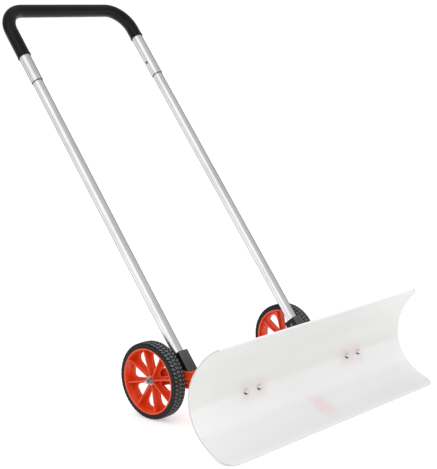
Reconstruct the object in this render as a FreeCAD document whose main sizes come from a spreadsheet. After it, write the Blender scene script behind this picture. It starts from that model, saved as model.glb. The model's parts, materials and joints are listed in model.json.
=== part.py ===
import FreeCAD, Part
import math
import os
import re
import Sketcher
from FreeCAD import Placement, Rotation, Vector

# A wheeled snow pusher: a curved blade low in front of two wheels, and an upright U-shaped handle.
# Millimetres, +Z up. The origin is the middle of the blade's flat lower edge, on the ground.
# The blade faces -Y, the wheels stand behind it on the +Y side, and "left" is the -X side.

SIZES = {
    # blade: a sheet bent along three tangent arcs, from the lower edge upwards
    "blade_length": 740,
    "blade_thick": 4,
    "blade_corner": 30,
    "tip_y": -5,
    "tip_z": 1.5,
    "tip_angle": 10.7,
    "low_radius": 160,
    "low_sweep": 26,
    "mid_radius": 105,
    "mid_sweep": 86.3,
    "high_radius": 234,
    "high_sweep": 17.7,
    # blade fastening: the bolts stand square to the sheet, at an angle up the middle arc
    "bolt_sweep": 43.5,
    "bolt_middle": 178.5,
    "bolt_spacing": 43,
    "bolt_radius": 3,
    "bolt_hole": 3.3,
    "bolt_head": 6.8,
    "bolt_head_high": 3.6,
    "bolt_head_gap": 0.25,
    "bolt_length": 20,
    "bolt_washer": 7,
    "bolt_washer_thick": 1.2,
    "bolt_nut_across": 10,
    "bolt_nut_high": 6,
    # wheels and axle
    "axle_y": 347.5,
    "wheel_radius": 87.5,
    "wheel_width": 34.5,
    "wheel_inner_x": 216,
    "rim_radius": 75,
    "rim_seat": 73.4,
    "rim_bore": 71.4,
    "lip_width": 3.2,
    "web_bottom": 8,
    "web_thick": 3.5,
    "spokes": 8,
    "spoke_turn": 12,
    "rib_thick": 2.4,
    "rib_rim_low": 3,
    "rib_rim_high": 29,
    "opening_inner_at": 27,
    "opening_inner": 5.5,
    "opening_outer_at": 53.5,
    "opening_outer": 13,
    "hub_radius": 11.5,
    "hub_start": 0.4,
    "hub_end": 24,
    "tyre_shoulder": 3.6,
    "axle_radius": 6,
    "axle_hole": 6.05,
    "axle_head": 18,
    "axle_head_high": 7,
    "thread_radius": 4,
    "thread_end": 256,
    "sleeve_radius": 7.5,
    "running_gap": 0.05,
    "fit_gap": 0.1,
    "washer_radius": 9.5,
    "washer_thick": 1.4,
    "nut_across": 13,
    "nut_high": 8,
    # cross tube, seated in the inner side of each arm
    "tie_y": 243,
    "tie_z": 97,
    "tie_radius": 8,
    "tie_wall": 1.5,
    "tie_seat": 11,
    # legs and handle, in a plane that leans back from the vertical
    "leg_x": 200,
    "foot_y": 283.5,
    "foot_z": 131,
    "lean": 36.2,
    "leg_radius": 12.5,
    "leg_wall": 1.2,
    "leg_end": -3,
    "leg_top": 898,
    "slide_gap": 0.06,
    "handle_radius": 14,
    "handle_start": 760,
    "handle_bar": 970,
    "handle_bend": 62,
    "grip_radius": 16,
    "grip_lip": 16.8,
    "grip_lip_high": 5,
    "grip_start_left": 833,
    "grip_start_right": 880,
    # snap buttons, one in each leg, on the inner side
    "button_at": 800,
    "button_radius": 3.5,
    "button_flange": 4.6,
    "button_low": 6.5,
    "button_high": 16,
    "button_dome": 2.4,
    "button_hole": 3.65,
    "spring_thick": 0.6,
    "spring_wide": 8,
    "spring_drop": 46,
    "spring_back": 10.4,
    # leg sockets
    "socket_width": 29,
    "socket_depth": 36,
    "socket_top": 22,
    "socket_edge": 2,
    "tongue_width": 14,
    "tongue_front": 258,
    "tongue_rear": 284,
    "tongue_bottom": 96.5,
    "pin_at": 9,
    "pin_radius": 3,
    "screw_y": 271,
    "screw_radius": 2.5,
    "screw_head": 4.75,
    "screw_head_high": 3,
    # side arms, from the axle forward to the blade's back
    "arm_top": 117.5,
    "arm_bottom": 78,
    "boss_radius": 18,
    "block_front": 229.5,
    "front_web": 7,
    "flange": 3.5,
    "rib_depth": 4,
    "rib_one": 88.5,
    "rib_two": 98.5,
    "rib_high": 3,
    "arm_nose_top": 122,
    "arm_nose_bottom": 75,
    "pad_outer": 14,
    "pad_inner": 68,
    "pad_half": 22.5,
    "pad_thick": 5,
    "gusset_low": 80,
    "gusset_high": 111,
    "gusset_reach": 45,
    # centre brace, from the middle of the cross tube to the lower back of the blade
    "brace_sweep": 23.3,
    "brace_pad_half": 20,
    "brace_half": 25,
    "brace_width": 22,
    "brace_web": 6,
    "clamp_half": 21,
    "clamp_depth": 14,
    "clamp_split": 0.3,
    "clamp_screw_at": 15,
}

# Centres and angles of the blade's arcs, as (y, z), written in the sizes above
LOW_CENTRE = ("tip_y - low_radius * sin(tip_angle)", "tip_z + low_radius * cos(tip_angle)")
MID_START = "(tip_angle + low_sweep)"
MID_CENTRE = (
    f"{LOW_CENTRE[0]} + (low_radius - mid_radius) * sin{MID_START}",
    f"{LOW_CENTRE[1]} - (low_radius - mid_radius) * cos{MID_START}",
)
HIGH_START = "(tip_angle + low_sweep + mid_sweep)"
HIGH_CENTRE = (
    f"{MID_CENTRE[0]} + (mid_radius - high_radius) * sin{HIGH_START}",
    f"{MID_CENTRE[1]} - (mid_radius - high_radius) * cos{HIGH_START}",
)
BOLT_ANGLE = "(tip_angle + low_sweep + bolt_sweep)"
BOLT_POINT = (
    f"{MID_CENTRE[0]} + mid_radius * sin{BOLT_ANGLE}",
    f"{MID_CENTRE[1]} - mid_radius * cos{BOLT_ANGLE}",
)
BRACE_ANGLE = "(tip_angle + brace_sweep)"
BRACE_POINT = (
    f"{LOW_CENTRE[0]} + low_radius * sin{BRACE_ANGLE}",
    f"{LOW_CENTRE[1]} - low_radius * cos{BRACE_ANGLE}",
)
SHEET_BACK = "(blade_thick + fit_gap)"

doc = FreeCAD.newDocument("snow_pusher")
sheet = doc.addObject("Spreadsheet::Sheet", "Sizes")
for row, (alias, number) in enumerate(SIZES.items(), start=1):
    sheet.set(f"A{row}", alias)
    sheet.set(f"B{row}", str(number))
    sheet.setAlias(f"B{row}", alias)
doc.recompute()

finished = []


# ---------------------------------------------------------------- helpers

def formula(text):
    """The text with each size's name pointed at its cell."""
    return re.sub(r"[a-z_]+", lambda m: "Sizes." + m[0] if m[0] in SIZES else m[0], str(text))


def value(text):
    return float(sheet.evalExpression(formula(text)))


def bind(thing, field, text):
    thing.setExpression(field, formula(text))


def new_body(name):
    body = doc.addObject("PartDesign::Body", name)
    body.Label = name
    return body


def keep(thing):
    """Marks a finished piece, which is written to its own file."""
    finished.append(thing)
    return thing


def put(thing, x="0", y="0", z="0", axis=(1, 0, 0), turn="0"):
    """Places a piece: turned about an axis, then moved. Every number is a formula."""
    thing.Placement = Placement(Vector(value(x), value(y), value(z)), Rotation(Vector(*axis), value(turn)))
    for letter, text in zip("xyz", (x, y, z)):
        bind(thing, f"Placement.Base.{letter}", text)
    if value(turn):
        bind(thing, "Placement.Rotation.Angle", text=turn)


def new_sketch(body, role, name, shift=("0", "0", "0"), axis=(0, 0, 1), turn="0"):
    """A sketch on one of the body's origin planes, shifted and turned in that plane's own axes."""
    sketch = body.newObject("Sketcher::SketchObject", name)
    plane = next(f for f in body.Origin.OriginFeatures if f.Role == role)
    sketch.AttachmentSupport = [(plane, "")]
    sketch.MapMode = "FlatFace"
    offset = Vector(*(value(text) for text in shift))
    sketch.AttachmentOffset = Placement(offset, Rotation(Vector(*axis), value(turn)))
    for letter, text in zip("xyz", shift):
        bind(sketch, f"AttachmentOffset.Base.{letter}", text)
    if value(turn):
        bind(sketch, "AttachmentOffset.Rotation.Angle", turn)
    return sketch


def limit(sketch, kind, *where, text):
    """A driving constraint bound to a formula."""
    unit = " * 1 deg" if kind == "Angle" else ""
    start = math.radians(value(text)) if unit else value(text)
    index = sketch.addConstraint(Sketcher.Constraint(kind, *where, start))
    sketch.setExpression(f"Constraints[{index}]", f"({formula(text)}){unit}")


def pin_point(sketch, edge, end, u, v):
    """Holds one point of an edge at (u, v)."""
    for kind, other_axis, text in (("DistanceX", -2, u), ("DistanceY", -1, v)):
        if abs(value(text)) < 1e-9:
            sketch.addConstraint(Sketcher.Constraint("PointOnObject", edge, end, other_axis))
        else:
            limit(sketch, kind, -1, 1, edge, end, text=text)


def circle(sketch, u, v, radius):
    centre = Vector(value(u), value(v), 0)
    edge = sketch.addGeometry(Part.Circle(centre, Vector(0, 0, 1), value(radius)))
    pin_point(sketch, edge, 3, u, v)
    limit(sketch, "Radius", edge, text=radius)


def arc(sketch, u, v, radius, first, last):
    """An arc about (u, v), counter-clockwise between two angles in degrees. Nothing is held yet."""
    rim = Part.Circle(Vector(value(u), value(v), 0), Vector(0, 0, 1), value(radius))
    return sketch.addGeometry(Part.ArcOfCircle(rim, math.radians(first), math.radians(last)))


def polygon(sketch, corners):
    """A closed outline of straight edges through the corners, each held at its own formulas."""
    points = [Vector(value(u), value(v), 0) for u, v in corners]
    ends = points[1:] + points[:1]
    edges = [sketch.addGeometry(Part.LineSegment(a, b)) for a, b in zip(points, ends)]
    for edge, after in zip(edges, edges[1:] + edges[:1]):
        sketch.addConstraint(Sketcher.Constraint("Coincident", edge, 2, after, 1))
    for edge, (u, v) in zip(edges, corners):
        pin_point(sketch, edge, 1, u, v)


def box_outline(sketch, low_u, low_v, high_u, high_v):
    polygon(sketch, [(low_u, low_v), (high_u, low_v), (high_u, high_v), (low_u, high_v)])


def volume(body):
    doc.recompute()
    return body.Shape.Volume if body.Tip else 0


def extrude(body, kind, sketch, name, length, other=None, both=False, back=False):
    """A pad or pocket. other is the length on the second side, both splits length in two."""
    before = volume(body)
    feature = body.newObject("PartDesign::" + kind, name)
    feature.Profile = sketch
    feature.SideType = "Symmetric" if both else "Two sides" if other else "One side"
    feature.Reversed = back
    bind(feature, "Length", length)
    if other:
        bind(feature, "Length2", other)
    changed = volume(body) - before
    if (kind == "Pad" and changed <= 0) or (kind == "Pocket" and changed >= 0):
        raise ValueError(f"{body.Label}: {name} changed the volume by {changed:.3f}")
    return feature


def pad(body, sketch, name, length, **how):
    return extrude(body, "Pad", sketch, name, length, **how)


def pocket(body, sketch, name, length, **how):
    return extrude(body, "Pocket", sketch, name, length, **how)


def turned(body, kind, sketch, name):
    """A full turn of the sketch about its own vertical axis."""
    feature = body.newObject("PartDesign::" + kind, name)
    feature.Profile = sketch
    feature.ReferenceAxis = (sketch, ["V_Axis"])
    feature.Angle = 360
    return feature


def around(body, features, name, count):
    """Repeats features evenly about the body's Z axis."""
    before = volume(body)
    pattern = body.newObject("PartDesign::PolarPattern", name)
    pattern.Originals = features
    pattern.Axis = (next(f for f in body.Origin.OriginFeatures if f.Role == "Z_Axis"), [""])
    pattern.Angle = 360
    bind(pattern, "Occurrences", count)
    body.Tip = pattern
    if abs(volume(body) - before) < 1:
        raise ValueError(f"{body.Label}: {name} changed nothing")
    return pattern


def dress(body, kind, name, size_field, size, chosen):
    """A fillet or chamfer on the edges of the body's tip that the test picks."""
    doc.recompute()
    base = body.Tip
    edges = [f"Edge{i}" for i, edge in enumerate(base.Shape.Edges, start=1) if chosen(edge)]
    if not edges:
        raise ValueError(f"{body.Label}: {name} found no edge")
    feature = body.newObject("PartDesign::" + kind, name)
    feature.Base = (base, edges)
    bind(feature, size_field, size)
    return feature


def round_edge_at(z, radius):
    """Picks full circles of one radius at one height."""
    def chosen(edge):
        flat = edge.BoundBox.ZLength < 1e-6 and abs(edge.BoundBox.ZMin - value(z)) < 1e-6
        return flat and abs(edge.BoundBox.XLength / 2 - value(radius)) < 1e-4
    return chosen


def ring(name, outer, inner, length):
    """A plain ring or tube along the body's Z axis, from z = 0."""
    body = new_body(name)
    sketch = new_sketch(body, "XY_Plane", name + "_section")
    circle(sketch, "0", "0", outer)
    circle(sketch, "0", "0", inner)
    pad(body, sketch, name + "_length", length)
    return body


def hexagon(sketch, across):
    angles = [60 * k for k in range(6)]
    polygon(sketch, [(f"{across} / sqrt(3) * cos({a})", f"{across} / sqrt(3) * sin({a})") for a in angles])


def nut(name, across, high, hole):
    """A lock nut along +Z from z = 0: hexagon with turned corners, and a round collar on top."""
    body = new_body(name)
    flats = new_sketch(body, "XY_Plane", name + "_flats")
    hexagon(flats, across)
    pad(body, flats, name + "_hexagon", f"({high}) * 0.72")
    corners = new_sketch(body, "XZ_Plane", name + "_corners")
    rise = f"{across} * 0.1"
    polygon(corners, [(f"{across} * 0.5", "0"), (f"{across} * 0.65", "0"), (f"{across} * 0.65", rise)])
    turned(body, "Groove", corners, name + "_turned_corners")
    collar = new_sketch(body, "XY_Plane", name + "_collar")
    circle(collar, "0", "0", f"{across} * 0.44")
    pad(body, collar, name + "_collar_pad", high)
    bore = new_sketch(body, "XY_Plane", name + "_thread")
    circle(bore, "0", "0", hole)
    pocket(body, bore, name + "_bore", high, back=True)
    return body


def screw(name, head, head_high, radius, length, dome):
    """A screw along -Z with its domed head above z = 0."""
    body = new_body(name)
    top = new_sketch(body, "XY_Plane", name + "_top")
    circle(top, "0", "0", head)
    pad(body, top, name + "_head", head_high)
    dress(body, "Fillet", name + "_dome", "Radius", dome, round_edge_at(head_high, head))
    shank = new_sketch(body, "XY_Plane", name + "_shank")
    circle(shank, "0", "0", radius)
    pad(body, shank, name + "_shank_pad", length, back=True)
    return body


def group(name, pattern, places):
    """One node of identical solids: a link to the pattern body at each place."""
    links = []
    for number, place in enumerate(places, start=1):
        link = doc.addObject("App::Link", f"{name}_{number}")
        link.LinkedObject = pattern
        put(link, **place)
        links.append(link)
    compound = doc.addObject("Part::Compound", name)
    compound.Label = name
    compound.Links = links
    return keep(compound)


def on_leg(side, along, across="0"):
    """(x, y, z) of a point on a leg's axis, at a distance up it and forward of it."""
    return {
        "x": f"{side} * leg_x",
        "y": f"foot_y + ({along}) * sin(lean) - ({across}) * cos(lean)",
        "z": f"foot_z + ({along}) * cos(lean) + ({across}) * sin(lean)",
    }


def square_to_sheet(body, name, point, angle, lift):
    """A sketch whose X is the row's X and whose plane lies along the blade, lifted off its front."""
    y, z = point
    shift = ("0", f"{z} + {lift} * cos{angle}", f"-({y} - {lift} * sin{angle})")
    return new_sketch(body, "XZ_Plane", name, shift, (1, 0, 0), f"{angle} - 90")


def across_sheet(body, name, point, angle):
    """A side-view sketch whose X points out of the blade's back and whose Y runs up along it."""
    y, z = point
    return new_sketch(body, "YZ_Plane", name, (y, z, "0"), (0, 0, 1), f"{angle} - 90")


# ---------------------------------------------------------------- blade

def make_blade():
    body = new_body("blade")
    path = new_sketch(body, "YZ_Plane", "blade_path")
    arcs = (
        (LOW_CENTRE, "low_radius", "tip_angle", "low_sweep"),
        (MID_CENTRE, "mid_radius", MID_START, "mid_sweep"),
        (HIGH_CENTRE, "high_radius", HIGH_START, "high_sweep"),
    )
    edges = [
        arc(path, y, z, radius, value(start) - 90, value(start) + value(sweep) - 90)
        for (y, z), radius, start, sweep in arcs
    ]
    pin_point(path, edges[0], 1, "tip_y", "tip_z")
    for edge, ((y, z), _, _, sweep) in zip(edges, arcs):
        pin_point(path, edge, 3, y, z)
        limit(path, "Angle", edge, text=sweep)
    for edge, after in zip(edges, edges[1:]):
        path.addConstraint(Sketcher.Constraint("Coincident", edge, 2, after, 1))
    section = new_sketch(body, "XZ_Plane", "blade_section", ("0", "tip_z", "-tip_y"), (1, 0, 0), "tip_angle")
    box_outline(section, "-blade_length / 2", "-blade_thick", "blade_length / 2", "0")
    sheet_bend = body.newObject("PartDesign::AdditivePipe", "blade_sheet")
    sheet_bend.Profile = section
    sheet_bend.Spine = (path, ["Edge1", "Edge2", "Edge3"])
    doc.recompute()
    dress(body, "Fillet", "blade_corners", "Radius", "blade_corner",
          lambda edge: abs(edge.Length - value("blade_thick")) < 1e-3)
    ground = new_sketch(body, "YZ_Plane", "blade_ground")
    box_outline(ground, "-40", "-10", "40", "0")
    pocket(body, ground, "blade_lower_edge", "blade_length + 10", both=True)
    holes = square_to_sheet(body, "blade_holes", BOLT_POINT, BOLT_ANGLE, "2")
    for side in (-1, 1):
        for step in (-1, 1):
            circle(holes, f"{side} * bolt_middle + {step} * bolt_spacing / 2", "0", "bolt_hole")
    pocket(body, holes, "blade_bolt_holes", "blade_thick * 3")
    keep(body)


def make_blade_fasteners():
    """Domed bolts through the sheet from the front, washers and lock nuts behind the arms' pads."""
    washer_at = f"({SHEET_BACK} + pad_thick)"
    bolt = screw("blade_bolt", "bolt_head", "bolt_head_high", "bolt_radius", "bolt_length", "3.3")
    washer = ring("blade_washer", "bolt_washer", "bolt_hole", "bolt_washer_thick - fit_gap")
    lock = nut("blade_nut", "bolt_nut_across", "bolt_nut_high - fit_gap", "bolt_radius + 0.05")

    def places(depth, turn):
        y, z = BOLT_POINT
        return [
            {
                "x": f"{side} * bolt_middle + {step} * bolt_spacing / 2",
                "y": f"{y} + ({depth}) * sin{BOLT_ANGLE}",
                "z": f"{z} - ({depth}) * cos{BOLT_ANGLE}",
                "turn": turn,
            }
            for side in (-1, 1) for step in (-1, 1)
        ]
    group("blade_bolts", bolt, places("-bolt_head_gap", BOLT_ANGLE))
    group("blade_washers", washer, places(f"{washer_at} + fit_gap", f"{BOLT_ANGLE} + 180"))
    group("blade_nuts", lock, places(f"{washer_at} + bolt_washer_thick + fit_gap", f"{BOLT_ANGLE} + 180"))


# ---------------------------------------------------------------- arms and sockets

def make_arm(name, side):
    """A moulded arm: a full-width block at the axle, a channel open to the outside towards the blade."""
    body = new_body(name)
    inward = -side
    half = "socket_width / 2"
    outline = new_sketch(body, "YZ_Plane", name + "_outline")
    polygon(outline, [
        ("axle_y", "wheel_radius + boss_radius"),
        ("axle_y - 32", "arm_top"),
        ("axle_y - 150", "arm_top"),
        ("axle_y - 255", "arm_nose_top"),
        ("axle_y - 255", "arm_nose_bottom"),
        ("axle_y - 150", "arm_bottom"),
        ("axle_y - 32", "arm_bottom"),
        ("axle_y", "wheel_radius - boss_radius"),
    ])
    pad(body, outline, name + "_beam", "socket_width", both=True)
    boss = new_sketch(body, "YZ_Plane", name + "_boss")
    circle(boss, "axle_y", "wheel_radius", "boss_radius")
    pad(body, boss, name + "_axle_boss", "socket_width", both=True)

    channel = new_sketch(body, "YZ_Plane", name + "_channel")
    polygon(channel, [
        ("block_front", "arm_bottom + flange"),
        ("block_front", "arm_top - flange"),
        ("axle_y - 150", "arm_top - flange"),
        ("axle_y - 270", "arm_nose_top - flange"),
        ("axle_y - 270", "arm_nose_bottom + flange"),
        ("axle_y - 150", "arm_bottom + flange"),
    ])
    to_web = f"{half} - front_web"
    outward = f"{half} + 1"
    sides = (outward, to_web) if side < 0 else (to_web, outward)
    pocket(body, channel, name + "_open_side", sides[0], other=sides[1])

    plate = across_sheet(body, name + "_plate", BOLT_POINT, BOLT_ANGLE)
    box_outline(plate, "-10", "-pad_half", f"{SHEET_BACK} + pad_thick", "pad_half")
    sides = ("pad_inner", "pad_outer") if side < 0 else ("pad_outer", "pad_inner")
    pad(body, plate, name + "_pad", sides[0], other=sides[1])
    for level in ("gusset_low", "gusset_high"):
        gusset = new_sketch(body, "XY_Plane", f"{name}_{level}", ("0", "0", level))
        polygon(gusset, [
            (f"{inward} * ({half} - 2)", "axle_y - 242"),
            (f"{inward} * (pad_inner - 4)", "axle_y - 242"),
            (f"{inward} * ({half} - 2)", "axle_y - 236 + gusset_reach"),
        ])
        pad(body, gusset, f"{name}_{level}_rib", "flange")
    front = new_sketch(body, "YZ_Plane", name + "_sheet_room")
    circle(front, *MID_CENTRE, f"mid_radius + {SHEET_BACK}")
    pocket(body, front, name + "_blade_seat", "4 * pad_inner", both=True)

    bands = new_sketch(body, "YZ_Plane", name + "_bands", ("0", "0", f"{side} * {half}"))
    levels = ("arm_bottom + rib_high", "rib_one"), ("rib_one + rib_high", "rib_two"), (
        "rib_two + rib_high", "arm_top - rib_high")
    for low, high in levels:
        box_outline(bands, "block_front + 5", low, "axle_y - 26", high)
    pocket(body, bands, name + "_side_ribs", "rib_depth", back=side < 0)

    slot = new_sketch(body, "YZ_Plane", name + "_slot")
    box_outline(slot, "tongue_front - 0.2", "tongue_bottom - 0.5", "tongue_rear + 0.2", "arm_top + 5")
    pocket(body, slot, name + "_tongue_slot", "tongue_width + 0.4", both=True)
    screw_hole = new_sketch(body, "XY_Plane", name + "_screw", ("0", "0", "arm_bottom - 5"))
    circle(screw_hole, "0", "screw_y", "screw_radius + 0.2")
    pocket(body, screw_hole, name + "_screw_hole", "30", back=True)
    bore = new_sketch(body, "YZ_Plane", name + "_bore")
    circle(bore, "axle_y", "wheel_radius", "axle_hole")
    pocket(body, bore, name + "_axle_bore", "socket_width * 2", both=True)
    tie = new_sketch(body, "YZ_Plane", name + "_tie", ("0", "0", f"{inward} * {half}"))
    circle(tie, "tie_y", "tie_z", "tie_radius + fit_gap")
    pocket(body, tie, name + "_tie_seat", "tie_seat", back=side > 0)
    holes = square_to_sheet(body, name + "_holes", BOLT_POINT, BOLT_ANGLE, "2")
    for step in (-1, 1):
        circle(holes, f"{side} * (bolt_middle - leg_x) + {step} * bolt_spacing / 2", "0", "bolt_hole")
    pocket(body, holes, name + "_bolt_holes", "blade_thick * 6")
    put(body, x=f"{side} * leg_x")
    keep(body)


def make_socket(name, side):
    """A moulded block that takes the leg, with a tongue that drops into the arm."""
    body = new_body(name)
    floor = "(arm_top + fit_gap)"
    half = "socket_depth / 2"
    front_foot = f"(({floor} - foot_z - {half} * sin(lean)) / cos(lean))"
    rear_foot = f"(({floor} - foot_z + {half} * sin(lean)) / cos(lean))"
    side_view = new_sketch(body, "YZ_Plane", name + "_side")
    polygon(side_view, [
        (f"foot_y + {front_foot} * sin(lean) - {half} * cos(lean)", floor),
        (f"foot_y + {rear_foot} * sin(lean) + {half} * cos(lean)", floor),
        (f"foot_y + socket_top * sin(lean) + {half} * cos(lean)",
         f"foot_z + socket_top * cos(lean) - {half} * sin(lean)"),
        (f"foot_y + socket_top * sin(lean) - {half} * cos(lean)",
         f"foot_z + socket_top * cos(lean) + {half} * sin(lean)"),
    ])
    pad(body, side_view, name + "_block", "socket_width", both=True)
    width = value("socket_width / 2")

    def along_leg(edge):
        start, end = edge.Vertexes[0].Point, edge.Vertexes[-1].Point
        lean_way = abs(abs((end - start).normalize().z) - abs(value("cos(lean)"))) < 1e-3
        return lean_way and abs(abs(start.x) - width) < 1e-3
    dress(body, "Chamfer", name + "_edges", "Size", "socket_edge", along_leg)
    tongue = new_sketch(body, "YZ_Plane", name + "_tongue")
    box_outline(tongue, "tongue_front", "tongue_bottom", "tongue_rear", f"{floor} + 2")
    pad(body, tongue, name + "_tongue_pad", "tongue_width", both=True)
    foot = ("0", "foot_y + (leg_end - fit_gap) * sin(lean)", "foot_z + (leg_end - fit_gap) * cos(lean)")
    bore = new_sketch(body, "XY_Plane", name + "_bore", foot, (1, 0, 0), "-lean")
    circle(bore, "0", "0", "leg_radius + fit_gap")
    pocket(body, bore, name + "_leg_bore", "100", back=True)
    pin = new_sketch(body, "YZ_Plane", name + "_pin")
    circle(pin, "foot_y + pin_at * sin(lean)", "foot_z + pin_at * cos(lean)", "pin_radius + 0.05")
    pocket(body, pin, name + "_pin_hole", "socket_width * 2", both=True)
    pilot = new_sketch(body, "XY_Plane", name + "_pilot", ("0", "0", "tongue_bottom - 1"))
    circle(pilot, "0", "screw_y", "screw_radius + 0.05")
    pocket(body, pilot, name + "_pilot_hole", "19", back=True)
    put(body, x=f"{side} * leg_x")
    keep(body)


def make_socket_fasteners():
    """A rolled pin across each leg, flush with its socket, and a screw up into each tongue."""
    pin = ring("socket_pin", "pin_radius", "pin_radius - 1", "socket_width - 1")
    seat = [
        {"x": f"{side} * leg_x - (socket_width - 1) / 2", "y": "foot_y + pin_at * sin(lean)",
         "z": "foot_z + pin_at * cos(lean)", "axis": (0, 1, 0), "turn": "90"}
        for side in (-1, 1)
    ]
    group("socket_pins", pin, seat)
    clamp = screw("socket_screw", "screw_head", "screw_head_high", "screw_radius", "34", "1.6")
    up = [
        {"x": f"{side} * leg_x", "y": "screw_y", "z": "arm_bottom - fit_gap", "turn": "180"}
        for side in (-1, 1)
    ]
    group("socket_screws", clamp, up)


# ---------------------------------------------------------------- legs, handle and snap buttons

def make_leg(name, side):
    body = new_body(name)
    section = new_sketch(body, "XY_Plane", name + "_section", ("0", "0", "leg_end"))
    circle(section, "0", "0", "leg_radius")
    circle(section, "0", "0", "leg_radius - leg_wall")
    pad(body, section, name + "_tube", "leg_top - leg_end")
    pin = new_sketch(body, "YZ_Plane", name + "_pin")
    circle(pin, "0", "pin_at", "pin_radius + 0.05")
    pocket(body, pin, name + "_pin_hole", "leg_radius * 3", both=True)
    button = new_sketch(body, "YZ_Plane", name + "_button")
    circle(button, "0", "button_at", "button_hole")
    pocket(body, button, name + "_button_hole", "leg_radius * 2", back=side < 0)
    put(body, **on_leg(side, "0"), turn="-lean")
    keep(body)


def bent_tube(name, start, end, outer, inner):
    """A tube along the handle's U path. It starts and ends at these distances up the two legs' axes."""
    body = new_body(name)
    path = new_sketch(body, "XZ_Plane", name + "_path")
    turn_x, turn_z = "(leg_x - handle_bend)", "(handle_bar - handle_bend)"
    corners = [
        ("-leg_x", start), ("-leg_x", turn_z), (f"-{turn_x}", "handle_bar"),
        (turn_x, "handle_bar"), ("leg_x", turn_z), ("leg_x", end),
    ]
    points = [Vector(value(u), value(v), 0) for u, v in corners]
    lines = [path.addGeometry(Part.LineSegment(points[i], points[i + 1])) for i in (0, 2, 4)]
    for line, corner in zip(lines, (0, 2, 4)):
        pin_point(path, line, 1, *corners[corner])
        pin_point(path, line, 2, *corners[corner + 1])
    for before, side in ((0, -1), (1, 1)):
        edge = arc(path, f"{side} * {turn_x}", turn_z, "handle_bend", 45 - side * 45, 135 - side * 45)
        path.addConstraint(Sketcher.Constraint("Coincident", edge, 2, lines[before], 2))
        path.addConstraint(Sketcher.Constraint("Coincident", edge, 1, lines[before + 1], 1))
        limit(path, "Radius", edge, text="handle_bend")
    section = new_sketch(body, "XY_Plane", name + "_section", ("-leg_x", "0", start))
    circle(section, "0", "0", outer)
    circle(section, "0", "0", inner)
    tube = body.newObject("PartDesign::AdditivePipe", name + "_tube")
    tube.Profile = section
    tube.Spine = (path, [f"Edge{i}" for i in range(1, 6)])
    doc.recompute()
    return body


def make_handle():
    tube = bent_tube("handle_tube", "handle_start", "handle_start", "handle_radius", "leg_radius + slide_gap")
    holes = new_sketch(tube, "YZ_Plane", "handle_button")
    circle(holes, "0", "button_at", "button_hole + 0.1")
    pocket(tube, holes, "handle_button_holes", "leg_x * 2", both=True)
    put(tube, y="foot_y", z="foot_z", turn="-lean")
    keep(tube)
    bore = "handle_radius + fit_gap / 2"
    grip = bent_tube("handle_grip", "grip_start_left", "grip_start_right", "grip_radius", bore)
    for side, word in ((-1, "left"), (1, "right")):
        lip = new_sketch(grip, "XY_Plane", f"grip_lip_{word}", (f"{side} * leg_x", "0", f"grip_start_{word}"))
        circle(lip, "0", "0", "grip_lip")
        circle(lip, "0", "0", bore)
        pad(grip, lip, f"grip_lip_{word}_pad", "grip_lip_high")
    put(grip, y="foot_y", z="foot_z", turn="-lean")
    keep(grip)


def make_snap(side, word):
    """A domed button that stands through both tubes, and the leaf spring that pushes it out."""
    button = new_body(f"snap_button_{word}")
    flange = new_sketch(button, "XY_Plane", f"button_flange_{word}", ("0", "0", "button_low"))
    circle(flange, "0", "0", "button_flange")
    pad(button, flange, f"button_foot_{word}", "1.2")
    post = new_sketch(button, "XY_Plane", f"button_post_{word}", ("0", "0", "button_low"))
    circle(post, "0", "0", "button_radius")
    pad(button, post, f"button_stem_{word}", "button_high - button_low")
    dress(button, "Fillet", f"button_dome_{word}", "Radius", "button_dome",
          round_edge_at("button_high", "button_radius"))
    put(button, **on_leg(side, "button_at"), axis=(0, 1, 0), turn=f"{-side} * 90")
    keep(button)

    spring = new_body(f"snap_spring_{word}")
    strip = new_sketch(spring, "XZ_Plane", f"spring_strip_{word}")
    bend_x = "(button_low - spring_back) / 2"
    outer = [("button_low - fit_gap", "button_at + 7"), (f"{bend_x} + 3", "button_at - spring_drop"),
             (bend_x, "button_at - spring_drop - 4"), ("-spring_back", "button_at - spring_drop"),
             ("-spring_back", "button_at + 7")]
    inner = [("spring_thick - spring_back", "button_at + 7"),
             ("spring_thick - spring_back", "button_at - spring_drop + 0.2"),
             (bend_x, "button_at - spring_drop - 4 + spring_thick * 1.4"),
             (f"{bend_x} + 3 - spring_thick", "button_at - spring_drop + 0.2"),
             ("button_low - fit_gap - spring_thick", "button_at + 7")]
    polygon(strip, [(f"{-side} * ({u})", v) for u, v in outer + inner])
    pad(spring, strip, f"spring_width_{word}", "spring_wide", both=True)
    put(spring, **on_leg(side, "0"), turn="-lean")
    keep(spring)


# ---------------------------------------------------------------- wheels and axle

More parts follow.
